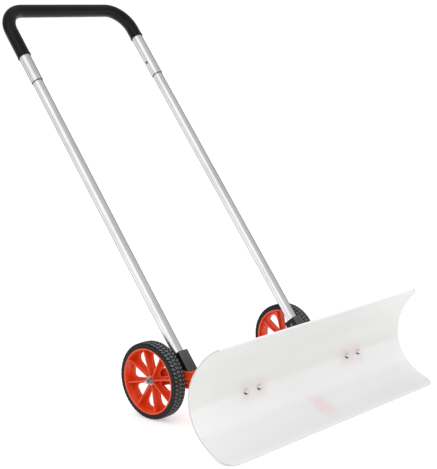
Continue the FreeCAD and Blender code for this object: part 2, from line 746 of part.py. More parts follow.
def make_wheel(word, side):
    """Rim and tyre, along the axle from the wheel's inner face outwards, with ribs on both sides."""
    rim = new_body(f"wheel_rim_{word}")
    barrel = new_sketch(rim, "XZ_Plane", f"rim_barrel_{word}")
    polygon(barrel, [
        ("rim_bore", "0"), ("rim_radius", "0"), ("rim_radius", "lip_width - 1"),
        ("rim_seat", "lip_width"), ("rim_seat", "wheel_width - lip_width"),
        ("rim_radius", "wheel_width - lip_width + 1"), ("rim_radius", "wheel_width - 0.8"),
        ("rim_radius - 0.8", "wheel_width"), ("rim_bore + 0.8", "wheel_width"),
        ("rim_bore", "wheel_width - 0.8"),
    ])
    turned(rim, "Revolution", barrel, f"rim_ring_{word}")
    web = new_sketch(rim, "XY_Plane", f"rim_web_{word}", ("0", "0", "web_bottom"))
    circle(web, "0", "0", "rim_bore + 1")
    pad(rim, web, f"rim_disc_{word}", "web_thick")
    hub = new_sketch(rim, "XY_Plane", f"rim_hub_{word}", ("0", "0", "hub_start"))
    circle(hub, "0", "0", "hub_radius")
    pad(rim, hub, f"rim_hub_boss_{word}", "hub_end - hub_start")
    opening = new_sketch(rim, "XY_Plane", f"rim_opening_{word}", ("0", "0", "web_bottom - 1"),
                         (0, 0, 1), f"{-side} * spoke_turn + 180 / spokes")
    tapered_slot(opening, "opening_inner_at", "opening_inner", "opening_outer_at", "opening_outer")
    window = pocket(rim, opening, f"rim_window_{word}", "web_thick + 2", back=True)
    around(rim, [window], f"rim_windows_{word}", "spokes")
    fin = new_sketch(rim, "XZ_Plane", f"rim_fin_{word}", axis=(0, 1, 0), turn=f"{-side} * spoke_turn")
    polygon(fin, [
        ("hub_radius - 2", "hub_start + 1"), ("rim_bore + 1", "rib_rim_low"),
        ("rim_bore + 1", "rib_rim_high"), ("hub_radius - 2", "hub_end"),
    ])
    rib = pad(rim, fin, f"rim_rib_{word}", "rib_thick", both=True)
    around(rim, [rib], f"rim_ribs_{word}", "spokes")
    bore = new_sketch(rim, "XY_Plane", f"rim_bore_{word}")
    circle(bore, "0", "0", "sleeve_radius + running_gap")
    pocket(rim, bore, f"rim_hub_bore_{word}", "wheel_width * 2", both=True)

    tyre = new_body(f"tyre_{word}")
    section = new_sketch(tyre, "XZ_Plane", f"tyre_section_{word}")
    lip = "rim_radius + fit_gap"
    seat = "rim_seat + fit_gap"
    polygon(section, [
        (seat, "lip_width + fit_gap"), (lip, "lip_width - 1 + fit_gap * 2"), (lip, "0"),
        ("wheel_radius - tyre_shoulder", "0"), ("wheel_radius - tyre_shoulder / 3", "tyre_shoulder"),
        ("wheel_radius", "wheel_width / 3"), ("wheel_radius", "wheel_width * 2 / 3"),
        ("wheel_radius - tyre_shoulder / 3", "wheel_width - tyre_shoulder"),
        ("wheel_radius - tyre_shoulder", "wheel_width"), (lip, "wheel_width"),
        (lip, "wheel_width - lip_width + 1 - fit_gap * 2"), (seat, "wheel_width - lip_width - fit_gap"),
    ])
    turned(tyre, "Revolution", section, f"tyre_ring_{word}")
    for body in (rim, tyre):
        put(body, x=f"{side} * wheel_inner_x", y="axle_y", z="wheel_radius", axis=(0, 1, 0),
            turn=f"{side} * 90")
        keep(body)


def tapered_slot(sketch, inner_at, inner, outer_at, outer):
    """Two round ends on the X axis, joined by straight sides that touch both."""
    near, far, small, large = (value(text) for text in (inner_at, outer_at, inner, outer))
    touch = 90 + math.degrees(math.asin((large - small) / (far - near)))

    def at(centre, radius, degrees):
        turn = math.radians(degrees)
        return Vector(centre + radius * math.cos(turn), radius * math.sin(turn), 0)
    small_end = arc(sketch, inner_at, "0", inner, touch, 360 - touch)
    large_end = arc(sketch, outer_at, "0", outer, -touch, touch)
    for up, small_tip, large_tip in ((1, 1, 2), (-1, 2, 1)):
        side = Part.LineSegment(at(near, small, up * touch), at(far, large, up * touch))
        line = sketch.addGeometry(side)
        sketch.addConstraint(Sketcher.Constraint("Tangent", line, 1, small_end, small_tip))
        sketch.addConstraint(Sketcher.Constraint("Tangent", line, 2, large_end, large_tip))
    for end, centre, radius in ((small_end, inner_at, inner), (large_end, outer_at, outer)):
        pin_point(sketch, end, 3, centre, "0")
        limit(sketch, "Radius", end, text=radius)


def make_axles():
    """A shoulder bolt out through each arm, with the wheel on a sleeve between two washers."""
    line = {"y": "axle_y", "z": "wheel_radius", "axis": (0, 1, 0)}
    inner_face = "(leg_x - socket_width / 2 - fit_gap)"
    inner_washer = "(leg_x + socket_width / 2 + fit_gap)"
    sleeve_start = f"({inner_washer} + washer_thick + fit_gap)"
    sleeve_length = "(hub_end - hub_start + 0.4)"
    outer_washer = f"({sleeve_start} + {sleeve_length} + fit_gap)"

    def both_sides(start):
        return [dict(line, x=f"{side} * {start}", turn=f"{side} * 90") for side in (-1, 1)]
    bolt = new_body("axle_bolt")
    head = new_sketch(bolt, "XY_Plane", "axle_bolt_head", ("0", "0", "-axle_head_high"))
    hexagon(head, "axle_head")
    pad(bolt, head, "axle_bolt_hexagon", "axle_head_high")
    steps = ("shoulder", "axle_radius", outer_washer), ("thread", "thread_radius", "thread_end")
    for role, radius, end in steps:
        section = new_sketch(bolt, "XY_Plane", f"axle_bolt_{role}")
        circle(section, "0", "0", radius)
        pad(bolt, section, f"axle_bolt_{role}_pad", f"{end} - {inner_face} - fit_gap")
    dress(bolt, "Chamfer", "axle_bolt_tip", "Size", "0.8",
          round_edge_at(f"thread_end - {inner_face} - fit_gap", "thread_radius"))
    group("axle_bolts", bolt, both_sides(inner_face))
    for side, word in ((-1, "left"), (1, "right")):
        sleeve = ring(f"axle_sleeve_{word}", "sleeve_radius", "axle_hole", sleeve_length)
        put(sleeve, x=f"{side} * {sleeve_start}", turn=f"{side} * 90", **line)
        keep(sleeve)
    washer = ring("inner_washer", "washer_radius", "axle_hole", "washer_thick")
    group("inner_washers", washer, both_sides(inner_washer))
    washer = ring("outer_washer", "washer_radius", "thread_radius + 0.2", "washer_thick")
    group("outer_washers", washer, both_sides(outer_washer))
    lock = nut("axle_nut", "nut_across", "nut_high", "thread_radius + 0.05")
    group("axle_nuts", lock, both_sides(f"({outer_washer} + washer_thick + fit_gap)"))


def make_cross_tube():
    half = "(leg_x - socket_width / 2 + tie_seat - fit_gap)"
    tube = ring("cross_tube", "tie_radius", "tie_radius - tie_wall", f"{half} * 2")
    put(tube, x=f"-{half}", y="tie_y", z="tie_z", axis=(0, 1, 0), turn="90")
    keep(tube)


# ---------------------------------------------------------------- centre brace

def make_brace():
    """A strut from the middle of the cross tube to the blade's lower back, clamped on with a cap."""
    body = new_body("centre_brace")
    beam = new_sketch(body, "YZ_Plane", "brace_beam")
    y, z = BRACE_POINT
    back_y, back_z = f"{y} + 10 * sin{BRACE_ANGLE}", f"{z} - 10 * cos{BRACE_ANGLE}"
    polygon(beam, [
        ("tie_y - 8", "tie_z + 13"), ("tie_y - 8", "tie_z - 13"),
        (f"{back_y} + 14", f"{back_z} - 4"), (f"{back_y} - 12", f"{back_z} - 4"),
        (f"{back_y} - 2", f"{back_z} + 18"), (f"{back_y} + 30", f"{back_z} + 24"),
    ])
    pad(body, beam, "brace_strut", "brace_width", both=True)
    for side in (-1, 1):
        face = ("0", "0", f"{side} * brace_width / 2")
        hollow = new_sketch(body, "YZ_Plane", f"brace_hollow_{side + 1}", face)
        polygon(hollow, [
            ("tie_y - 34", "tie_z + 5"), ("tie_y - 34", "tie_z - 13"),
            (f"{back_y} + 34", f"{back_z} + 4.5"), (f"{back_y} + 34", f"{back_z} + 20"),
        ])
        pocket(body, hollow, f"brace_side_{side + 1}", "(brace_width - brace_web) / 2", back=side < 0)
    plate = across_sheet(body, "brace_plate", BRACE_POINT, BRACE_ANGLE)
    box_outline(plate, "-10", "-brace_pad_half", f"{SHEET_BACK} + pad_thick", "brace_pad_half")
    pad(body, plate, "brace_pad", "brace_half * 2", both=True)
    clamp = new_sketch(body, "YZ_Plane", "brace_clamp")
    box_outline(clamp, "tie_y - clamp_depth", "tie_z - clamp_half",
                "tie_y - clamp_split", "tie_z + clamp_half")
    pad(body, clamp, "brace_clamp_block", "brace_width", both=True)
    front = new_sketch(body, "YZ_Plane", "brace_sheet_room")
    circle(front, *LOW_CENTRE, f"low_radius + {SHEET_BACK}")
    pocket(body, front, "brace_blade_seat", "brace_half * 4", both=True)
    bore_and_screws(body, "centre_brace", "screw_radius + 0.05", "13", True)
    keep(body)

    cap = new_body("brace_cap")
    block = new_sketch(cap, "YZ_Plane", "cap_side")
    box_outline(block, "tie_y + clamp_split", "tie_z - clamp_half",
                "tie_y + clamp_depth", "tie_z + clamp_half")
    pad(cap, block, "cap_block", "brace_width", both=True)
    dress(cap, "Fillet", "cap_corners", "Radius", "6",
          lambda edge: edge.BoundBox.XLength > 1 and edge.BoundBox.YMin > value("tie_y + clamp_depth") - 0.1)
    bore_and_screws(cap, "brace_cap", "screw_radius + 0.2", "clamp_depth * 2", False)
    keep(cap)
    clamp_screw = screw("brace_screw", "screw_head", "screw_head_high", "screw_radius", "26", "1.6")
    group("brace_screws", clamp_screw, [
        {"y": "tie_y + clamp_depth + fit_gap", "z": f"tie_z + {up} * clamp_screw_at", "turn": "-90"}
        for up in (-1, 1)
    ])


def bore_and_screws(body, name, hole, depth, forward):
    """The cross tube's bore and the two screw holes, which run along Y from the split line."""
    bore = new_sketch(body, "YZ_Plane", name + "_bore")
    circle(bore, "tie_y", "tie_z", "tie_radius + 0.05")
    pocket(body, bore, name + "_tube_bore", "brace_width * 2", both=True)
    holes = new_sketch(body, "XZ_Plane", name + "_screws", ("0", "0", "-tie_y"))
    for up in (-1, 1):
        circle(holes, "0", f"tie_z + {up} * clamp_screw_at", hole)
    pocket(body, holes, name + "_screw_holes", depth, back=forward)


# ---------------------------------------------------------------- build and write

def check_document():
    for thing in doc.Objects:
        if set(thing.State) & {"Invalid", "Error"}:
            raise ValueError(f"{thing.Label} failed: {thing.State} {thing.getStatusString()}")
    for thing in finished:
        if thing.Shape.isNull() or not thing.Shape.isValid() or not thing.Shape.Solids:
            raise ValueError(f"{thing.Label} has no valid solid")


make_blade()
make_blade_fasteners()
for side, word in ((-1, "left"), (1, "right")):
    make_arm(f"arm_{word}", side)
    make_socket(f"leg_socket_{word}", side)
    make_leg(f"leg_tube_{word}", side)
    make_snap(side, word)
    make_wheel(word, side)
make_socket_fasteners()
make_handle()
make_axles()
make_cross_tube()
make_brace()
doc.recompute()
check_document()
os.makedirs("parts", exist_ok=True)
for thing in finished:
    thing.Shape.exportStep(f"parts/{thing.Label}.step")
    box = thing.Shape.BoundBox
    spans = ", ".join(f"{getattr(box, axis + 'Min'):.1f}..{getattr(box, axis + 'Max'):.1f}" for axis in "XYZ")
    solids = len(thing.Shape.Solids)
    print(f"{thing.Label:20s} {thing.Shape.Volume / 1000:8.2f} cm3, {solids} solids, {spans}")
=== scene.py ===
import json
import math

import bmesh
import bpy
from mathutils import Matrix, Vector


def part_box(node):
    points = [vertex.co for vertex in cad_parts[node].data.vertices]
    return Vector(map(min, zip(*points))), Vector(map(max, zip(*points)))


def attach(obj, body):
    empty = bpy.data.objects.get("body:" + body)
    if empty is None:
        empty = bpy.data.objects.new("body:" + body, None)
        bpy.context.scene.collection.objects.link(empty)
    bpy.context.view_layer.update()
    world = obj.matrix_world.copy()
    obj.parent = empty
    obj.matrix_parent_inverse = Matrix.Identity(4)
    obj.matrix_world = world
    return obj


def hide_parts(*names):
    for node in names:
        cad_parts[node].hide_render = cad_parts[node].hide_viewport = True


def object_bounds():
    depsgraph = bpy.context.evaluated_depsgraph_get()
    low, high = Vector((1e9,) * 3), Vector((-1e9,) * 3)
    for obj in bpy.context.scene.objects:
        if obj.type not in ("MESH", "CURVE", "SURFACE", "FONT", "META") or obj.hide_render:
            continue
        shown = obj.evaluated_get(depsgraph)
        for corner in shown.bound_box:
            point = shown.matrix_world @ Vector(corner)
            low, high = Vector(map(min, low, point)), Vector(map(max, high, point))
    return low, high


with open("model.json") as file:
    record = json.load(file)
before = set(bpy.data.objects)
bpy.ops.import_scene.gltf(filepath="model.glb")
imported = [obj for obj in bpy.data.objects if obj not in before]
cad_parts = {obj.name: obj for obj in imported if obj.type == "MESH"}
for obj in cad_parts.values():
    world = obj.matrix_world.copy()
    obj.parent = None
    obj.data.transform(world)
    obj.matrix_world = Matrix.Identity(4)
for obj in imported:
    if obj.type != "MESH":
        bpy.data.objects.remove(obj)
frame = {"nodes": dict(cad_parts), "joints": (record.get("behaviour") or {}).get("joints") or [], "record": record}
cad_box = [list(corner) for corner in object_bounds()]

# Sizes are in metres and angles in degrees. Places come from the frame.
MM = 0.001
LEG_LEAN = -36.2
TUBE_RADIUS = 14 * MM

# tyre section, as distances from the wheel's axis and from its middle plane. PAST_EDGE is a share of a pitch
# just past a row of corners, where the faces that start there are looked up.
TYRE_HALF_WIDTH = 17.25 * MM
TREAD_TOP = 87.4 * MM
TREAD_FLOOR = 86.0 * MM
SHOULDER = 84.2 * MM
CROWN = 0.9 * MM
RIM_LIP = 75.1 * MM
RIM_SEAT = 73.5 * MM
LIP_WIDTH = 3.3 * MM
EDGE_LUG = 0.7 * MM
PITCHES = 60
CHEVRON = 6.5 * MM
PAST_EDGE = 0.01

# grip, along the handle's U-shaped path: it sits off centre, so its right end stands higher
GRIP_RADIUS = 16.0 * MM
GRIP_LIP = 16.8 * MM
GRIP_BORE = 14.05 * MM
GRIP_BEND = 62 * MM
GRIP_OFFSET = 47 * MM
GRIP_SIDES = 72

# tint painted on the blade over the pads behind it: how far past the bolt heads, and the brace's bottom and top
PAD_REACH = 14 * MM
BRACE_PAD = (12 * MM, 40 * MM)
PAD_BORDER = 8 * MM
ARM_PAD_TINT = 0.7

# camera
CAMERA_PLACE = (-2.039, -1.5255, 0.831)
CAMERA_AZIMUTH = -47.4
CAMERA_ELEVATION = 9.2
CAMERA_ROLL = -1.82
CAMERA_LENS = 92.55
CAMERA_REACH = 300
FLOOR_REACH = 60

# studio: greys round the camera's azimuth, from behind on its right, through the camera, to behind on its left
WORLD_STRENGTH = 1.02
SCREEN_BLUE = 1.005
SCREEN_STOPS = ((0.0, 0.45), (0.12, 0.55), (0.30, 0.60), (0.42, 0.56), (0.475, 0.64), (0.51, 0.95), (0.56, 1.42),
                (0.62, 1.20), (0.69, 0.72), (0.76, 0.34), (1.0, 0.40))
PANELS = (
    ("key_panel", (-2.6, -1.2, 2.4), 2.2, 30),
    ("top_panel", (0.3, 0.4, 3.0), 2.6, 20),
)


# ---------------------------------------------------------------- node helpers

class Shader:
    """A material with a Principled surface, and short ways to add and link nodes."""

    def __init__(self, name, **values):
        self.material = bpy.data.materials.new(name)
        self.material.use_nodes = True
        self.tree = self.material.node_tree
        self.surface = self.tree.nodes["Principled BSDF"]
        self.set(self.surface, values)
        self.place = self.node("ShaderNodeTexCoord").outputs["Object"]

    def set(self, node, values):
        """Sets or links inputs by name: an underscore stands for a space."""
        for key, value in values.items():
            socket = node.inputs[int(key[1:]) if key[0] == "i" and key[1:].isdigit() else key.replace("_", " ")]
            if isinstance(value, bpy.types.NodeSocket):
                self.tree.links.new(value, socket)
            else:
                socket.default_value = value

    def node(self, kind, **values):
        node = self.tree.nodes.new(kind)
        self.set(node, values)
        return node

    def math(self, operation, *values):
        node = self.tree.nodes.new("ShaderNodeMath")
        node.operation = operation
        self.set(node, {f"i{i}": value for i, value in enumerate(values)})
        return node.outputs[0]

    def stretched(self, scale, turn_x=0.0):
        """Object coordinates turned about X, then scaled."""
        turned = self.node("ShaderNodeMapping", Vector=self.place, Rotation=(math.radians(turn_x), 0, 0))
        return self.node("ShaderNodeMapping", Vector=turned.outputs[0], Scale=scale).outputs[0]

    def noise(self, scale, detail=4.0, roughness=0.55, place=None):
        return self.node("ShaderNodeTexNoise", Vector=place or self.place, Scale=scale, Detail=detail,
                         Roughness=roughness).outputs["Fac"]

    def spread(self, factor, low, high, start=0.3, end=0.7):
        """Maps start..end of a factor to low..high."""
        return self.node("ShaderNodeMapRange", Value=factor, From_Min=start, From_Max=end, To_Min=low,
                         To_Max=high).outputs[0]

    def ramp(self, factor, stops):
        node = self.node("ShaderNodeValToRGB", Fac=factor)
        node.color_ramp.interpolation = "EASE"
        points = node.color_ramp.elements
        while len(points) < len(stops):
            points.new(0.5)
        for point, (where, color) in zip(points, stops):
            point.position = where
            point.color = (*color, 1)
        return node.outputs[0]

    def mix(self, factor, first, second, blend="MIX"):
        node = self.tree.nodes.new("ShaderNodeMix")
        node.data_type = "RGBA"
        node.blend_type = blend
        self.set(node, {"i0": factor, "i6": (*first, 1) if isinstance(first, tuple) else first,
                        "i7": (*second, 1) if isinstance(second, tuple) else second})
        return node.outputs[2]

    def rounded(self, radius):
        """A normal that rounds hard edges."""
        node = self.node("ShaderNodeBevel", Radius=radius)
        node.samples = 4
        return node.outputs[0]

    def edges(self, radius):
        """1 on hard edges and 0 on plain faces, from how far a rounded normal leans off the true one."""
        plain = self.node("ShaderNodeNewGeometry").outputs["True Normal"]
        lean = self.node("ShaderNodeVectorMath", i0=plain, i1=self.rounded(radius))
        lean.operation = "DOT_PRODUCT"
        return self.spread(lean.outputs["Value"], 1.0, 0.0, 0.80, 0.985)

    def axes(self, vector=None):
        return self.node("ShaderNodeSeparateXYZ", Vector=vector or self.place).outputs

    def normals(self):
        return self.axes(self.node("ShaderNodeNewGeometry").outputs["True Normal"])

    def along(self, direction):
        """Distance along a direction from the origin."""
        dot = self.node("ShaderNodeVectorMath", i0=self.place, i1=tuple(direction))
        dot.operation = "DOT_PRODUCT"
        return dot.outputs["Value"]

    def near(self, value, low, high, soft):
        """1 from low to high, fading to 0 over a soft border."""
        off = self.math("ABSOLUTE", self.math("SUBTRACT", value, (low + high) / 2))
        half = (high - low) / 2
        return self.spread(off, 1.0, 0.0, half - soft, half + soft)

    def bump(self, height, depth, strength=1.0, normal=None):
        node = self.node("ShaderNodeBump", Height=height, Distance=depth, Strength=strength)
        if normal:
            self.set(node, {"Normal": normal})
        return node.outputs[0]

    def finish(self, **values):
        self.set(self.surface, values)
        return self.material


def srgb(red, green, blue):
    """A colour given as 0..255 values on screen, in linear light."""
    def linear(value):
        value /= 255
        return value / 12.92 if value <= 0.04045 else ((value + 0.055) / 1.055) ** 2.4
    return linear(red), linear(green), linear(blue)


def middle(node):
    low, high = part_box(node)
    return (low + high) / 2


def leg_up():
    lift = next(joint for joint in frame["joints"] if joint["name"] == "handle_lift")
    return Vector(lift["axis"]).normalized()


def lower_end(node, radius):
    """The middle of a leaning tube's lower end, on the left leg's line."""
    up, left = leg_up(), middle("leg_tube_left")
    return left + up * ((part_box(node)[0].z + radius * up.y - left.z) / up.z)


# ---------------------------------------------------------------- materials

def pads_behind(s, axes):
    """0..1 over the orange pads behind the sheet, to paint the tint they would give it."""
    shown = 0.0
    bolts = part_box("blade_bolts")
    for node, low, high in (
        ("arm_left", bolts[0].z - PAD_REACH, bolts[1].z + PAD_REACH),
        ("arm_right", bolts[0].z - PAD_REACH, bolts[1].z + PAD_REACH),
        ("centre_brace", *BRACE_PAD),
    ):
        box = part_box(node)
        across = s.near(axes["X"], box[0].x, box[1].x, PAD_BORDER)
        upright = s.near(axes["Z"], low, high, PAD_BORDER)
        strength = 1.0 if node == "centre_brace" else ARM_PAD_TINT
        patch = s.math("MULTIPLY", s.math("MULTIPLY", across, upright), strength)
        shown = s.math("MAXIMUM", shown, patch)
    return s.math("MULTIPLY", shown, s.spread(s.noise(45, 4), 0.35, 1.0))


def blade_plastic():
    """Milky polyethylene sheet: frosted, painted shade and highlight bands along its bends, a painted tint over the
    pads, greyer cuts.
    """
    s = Shader("blade_plastic", IOR=1.45, Transmission_Weight=0.20, Specular_IOR_Level=0.4)
    axes, normals = s.axes(), s.normals()
    # painted shade and highlight: this ramp over height darkens and lightens bands where the sheet bends, where
    # light falls differently on it
    tone = s.ramp(s.spread(axes["Z"], 0, 1, 0.0, 0.23), [
        (0.00, srgb(228, 228, 229)),
        (0.14, srgb(236, 236, 237)),
        (0.24, srgb(244, 244, 245)),
        (0.38, srgb(243, 243, 243)),
        (0.46, srgb(234, 235, 231)),
        (0.60, srgb(237, 238, 235)),
        (1.00, srgb(240, 240, 239)),
    ])
    cloud = s.spread(s.noise(7, 3), 0.0, 0.15)
    color = s.mix(cloud, tone, srgb(226, 228, 227))
    color = s.mix(s.math("MULTIPLY", pads_behind(s, axes), 0.24), color, srgb(250, 148, 160))
    end_cut = s.math("GREATER_THAN", s.math("ABSOLUTE", normals["X"]), 0.2)
    low_cut = s.math("MULTIPLY", s.math("LESS_THAN", normals["Y"], -0.6), s.math("LESS_THAN", axes["Z"], 0.006))
    saw = s.noise(1, 4, 0.7, s.stretched((900, 60, 60)))
    sawn = s.mix(s.spread(saw, 0, 1), srgb(196, 199, 199), srgb(216, 218, 218))
    color = s.mix(s.math("MAXIMUM", end_cut, low_cut), color, sawn)
    scuff = s.noise(1, 5, 0.6, s.stretched((6, 420, 420)))
    grain = s.noise(900, 2)
    texture = s.math("ADD", s.math("MULTIPLY", scuff, 0.6), s.math("MULTIPLY", grain, 0.4))
    return s.finish(Base_Color=color, Roughness=s.spread(scuff, 0.32, 0.46),
                    Normal=s.bump(texture, 0.00012, 0.5, s.rounded(0.0008)))


def orange_plastic():
    """Moulded nylon: saturated, half glossy, with flow clouds, a fine moulded grain and painted highlights along
    its edges.
    """
    s = Shader("orange_plastic", IOR=1.5, Subsurface_Weight=0.12, Subsurface_Radius=(0.004, 0.0012, 0.0006))
    cloud = s.spread(s.noise(22, 4), 0.0, 1.0)
    color = s.mix(cloud, srgb(212, 58, 20), srgb(224, 72, 28))
    # painted highlight: hard edges are lightened towards a pale orange
    color = s.mix(s.math("MULTIPLY", s.edges(0.0012), 0.55), color, srgb(255, 138, 92))
    grain = s.noise(1400, 3)
    return s.finish(Base_Color=color, Roughness=s.spread(s.noise(60, 3), 0.26, 0.40),
                    Normal=s.bump(grain, 0.00006, 0.35, s.rounded(0.0007)))


def black_plastic():
    """Glass-filled nylon: painted light, paler towards the top of its front and back, painted shadow on its sides,
    painted highlights on its edges.
    """
    s = Shader("black_plastic", IOR=1.5, Specular_IOR_Level=0.3)
    grain = s.noise(900, 4, 0.65)
    streak = s.noise(1, 4, 0.6, s.stretched((700, 700, 40), LEG_LEAN))
    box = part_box("leg_socket_left")
    color = s.mix(s.spread(streak, 0.0, 1.0), srgb(26, 26, 27), srgb(56, 56, 57))
    # painted light: the colour grows paler towards the top of the socket
    painted_top_light = s.spread(s.axes()["Z"], 0.0, 0.45, box[0].z, box[1].z)
    color = s.mix(painted_top_light, color, srgb(96, 96, 97))
    # painted highlight: hard edges are lightened to a pale grey
    color = s.mix(s.math("MULTIPLY", s.edges(0.0015), 0.6), color, srgb(150, 150, 152))
    # painted shadow: faces turned sideways are made near black
    side = s.math("GREATER_THAN", s.math("ABSOLUTE", s.normals()["X"]), 0.8)
    color = s.mix(side, color, s.mix(s.spread(streak, 0.0, 1.0), srgb(6, 6, 6), srgb(14, 14, 15)))
    return s.finish(Base_Color=color, Roughness=s.spread(grain, 0.42, 0.6),
                    Normal=s.bump(grain, 0.0001, 0.6, s.rounded(0.0008)))


def tread_rubber():
    """Tops of the lugs: dusty grey-black, matt, mottled."""
    s = Shader("tread_rubber", IOR=1.5, Specular_IOR_Level=0.25)
    dust = s.spread(s.noise(300, 6, 0.75), 0.0, 1.0, 0.36, 0.62)
    color = s.mix(dust, srgb(46, 50, 52), srgb(124, 128, 130))
    patch = s.spread(s.noise(28, 3), 0.0, 0.5)
    color = s.mix(patch, color, srgb(62, 65, 67))
    fine = s.noise(1500, 3)
    return s.finish(Base_Color=color, Roughness=s.spread(dust, 0.62, 0.85), Normal=s.bump(fine, 0.0002, 0.5))


def dark_rubber(name, low, high):
    """Unworn rubber of the sidewalls and grooves: near black, satin."""
    s = Shader(name, IOR=1.5, Specular_IOR_Level=0.18)
    cloud = s.spread(s.noise(60, 4), 0.0, 1.0)
    return s.finish(Base_Color=s.mix(cloud, low, high), Roughness=s.spread(cloud, 0.34, 0.5),
                    Normal=s.bump(s.noise(1200, 3), 0.0001, 0.4))


def grip_foam():
    """Closed-cell foam: black, soft sheen, a fine open-pored skin."""
    s = Shader("grip_foam", IOR=1.5, Specular_IOR_Level=0.2)
    pores = s.node("ShaderNodeTexVoronoi", Vector=s.place, Scale=1100.0).outputs["Distance"]
    cloud = s.spread(s.noise(35, 4), 0.0, 1.0)
    color = s.mix(cloud, srgb(6, 6, 7), srgb(15, 15, 16))
    return s.finish(Base_Color=color, Roughness=s.spread(cloud, 0.26, 0.36), Normal=s.bump(pores, 0.0001, 0.4))


def aluminium_tube():
    """Drawn tube: satin metal, fine lines along it, painted shade where seen edge-on, a dark ring where the handle
    ends.
    """
    s = Shader("aluminium_tube", Metallic=1.0)
    lines = s.noise(1, 5, 0.65, s.stretched((1500, 1500, 10), LEG_LEAN))
    cloud = s.noise(14, 3)
    color = s.mix(s.spread(cloud, 0.0, 1.0), srgb(226, 227, 229), srgb(240, 240, 241))
    color = s.mix(s.spread(lines, 0.0, 0.30), color, srgb(206, 207, 210))
    # painted shade: the colour darkens where the tube is seen edge-on
    edge_on_shade = s.node("ShaderNodeLayerWeight", Blend=0.5).outputs["Facing"]
    edge_on_shade = s.spread(edge_on_shade, 0.0, 0.85, 0.42, 0.80)
    color = s.mix(edge_on_shade, color, srgb(112, 113, 116))
    seam = lower_end("handle_tube", TUBE_RADIUS).dot(leg_up())
    grime = s.near(s.along(leg_up()), seam - 1.6 * MM, seam + 1.2 * MM, 0.8 * MM)
    color = s.mix(s.math("MULTIPLY", grime, 0.75), color, srgb(70, 70, 72))
    # painted shade: the reflection tint dims where the tube is seen edge-on
    tint = s.mix(edge_on_shade, (1.0, 1.0, 1.0), (0.25, 0.25, 0.26))
    return s.finish(Base_Color=color, Specular_Tint=tint, Roughness=s.spread(lines, 0.26, 0.38),
                    Normal=s.bump(lines, 0.00004, 0.4))


def chrome():
    """Bright plating: mirror-like, with a painted dark reflection where a dome looks down."""
    s = Shader("chrome", Metallic=1.0)
    cloud = s.spread(s.noise(300, 3), 0.0, 1.0)
    color = s.mix(cloud, srgb(222, 223, 225), srgb(240, 240, 242))
    # painted reflection: faces that look down are darkened, as if they reflected a dark ground
    down = s.spread(s.axes(s.node("ShaderNodeNewGeometry").outputs["Normal"])["Z"], 1.0, 0.0, -0.25, 0.28)
    color = s.mix(down, color, srgb(30, 30, 33))
    return s.finish(Base_Color=color, Roughness=s.spread(cloud, 0.07, 0.14),
                    Normal=s.bump(s.noise(1600, 3), 0.00004, 0.3))


def plated_steel(name, dark, light, rough_low, rough_high):
    """Plated or bare steel: clouded tone, fine grain, painted shade where it meets its neighbour."""
    s = Shader(name, Metallic=1.0)
    cloud = s.spread(s.noise(160, 4), 0.0, 1.0)
    fine = s.noise(1600, 3)
    # painted shade: ambient occlusion darkens the colour where parts meet and in hollows
    contact_shade = s.node("ShaderNodeAmbientOcclusion", Distance=0.006)
    contact_shade.samples = 6
    color = s.mix(cloud, dark, light)
    color = s.mix(s.spread(contact_shade.outputs["AO"], 0.8, 0.0, 0.35, 0.9), color, srgb(66, 66, 69))
    return s.finish(Base_Color=color, Roughness=s.spread(cloud, rough_low, rough_high),
                    Normal=s.bump(fine, 0.00005, 0.4, s.rounded(0.0004)))


def floor_paper():
    """Pale studio paper with a faint tooth, and a glow that lightens the shadows on it."""
    s = Shader("floor_paper", Roughness=0.9, Specular_IOR_Level=0.1, Emission_Color=(1, 1, 1, 1),
               Emission_Strength=0.45)
    color = s.mix(s.spread(s.noise(3, 3), 0.0, 1.0), srgb(204, 204, 204), srgb(208, 208, 208))
    return s.finish(Base_Color=color, Normal=s.bump(s.noise(180, 3), 0.0004, 0.2))


def dress_cad_nodes():
    """Gives every CAD node its material, by the record's slot."""
    made = {
        "blade_plastic": blade_plastic(),
        "orange_plastic": orange_plastic(),
        "black_plastic": black_plastic(),
        "tyre_rubber": tread_rubber(),
        "grip_foam": grip_foam(),
        "aluminium_tube": aluminium_tube(),
        "zinc_steel": plated_steel("zinc_steel", srgb(170, 172, 176), srgb(205, 206, 208), 0.26, 0.42),
        "chrome": chrome(),
        "button_steel": plated_steel("button_steel", srgb(84, 85, 88), srgb(112, 113, 116), 0.25, 0.4),
        "spring_steel": plated_steel("spring_steel", srgb(96, 98, 104), srgb(130, 132, 138), 0.22, 0.36),
    }
    for part in frame["record"]["subparts"]:
        node = frame["nodes"][part["node"]]
        node.data.materials.clear()
        node.data.materials.append(made[part["material_slot"]])
    return made


# ---------------------------------------------------------------- mesh helpers

def mesh_object(name, corners, faces, materials, face_material=None, smooth=True):
    mesh = bpy.data.meshes.new(name)
    mesh.from_pydata(corners, [], faces)
    for material in materials:
        mesh.materials.append(material)
    if face_material:
        mesh.polygons.foreach_set("material_index", face_material)
    mesh.polygons.foreach_set("use_smooth", [smooth] * len(faces))
    mesh.update()
    piece = bpy.data.objects.new(name, mesh)
    bpy.context.scene.collection.objects.link(piece)
    return piece


def swept_faces(rows, ring):
    """Faces of a closed skin of rows, each a closed ring of corners."""
    faces = []
    for row in range(rows):
        here, after = row * ring, (row + 1) % rows * ring
        for i in range(ring):
            j = (i + 1) % ring
            faces.append((here + i, here + j, after + j, after + i))
    return faces


def outward(piece):
    """Turns every face's normal outwards."""
    shape = bmesh.new()
    shape.from_mesh(piece.data)
    bmesh.ops.recalc_face_normals(shape, faces=shape.faces)
    shape.to_mesh(piece.data)
    shape.free()
    return piece


# ---------------------------------------------------------------- tyres

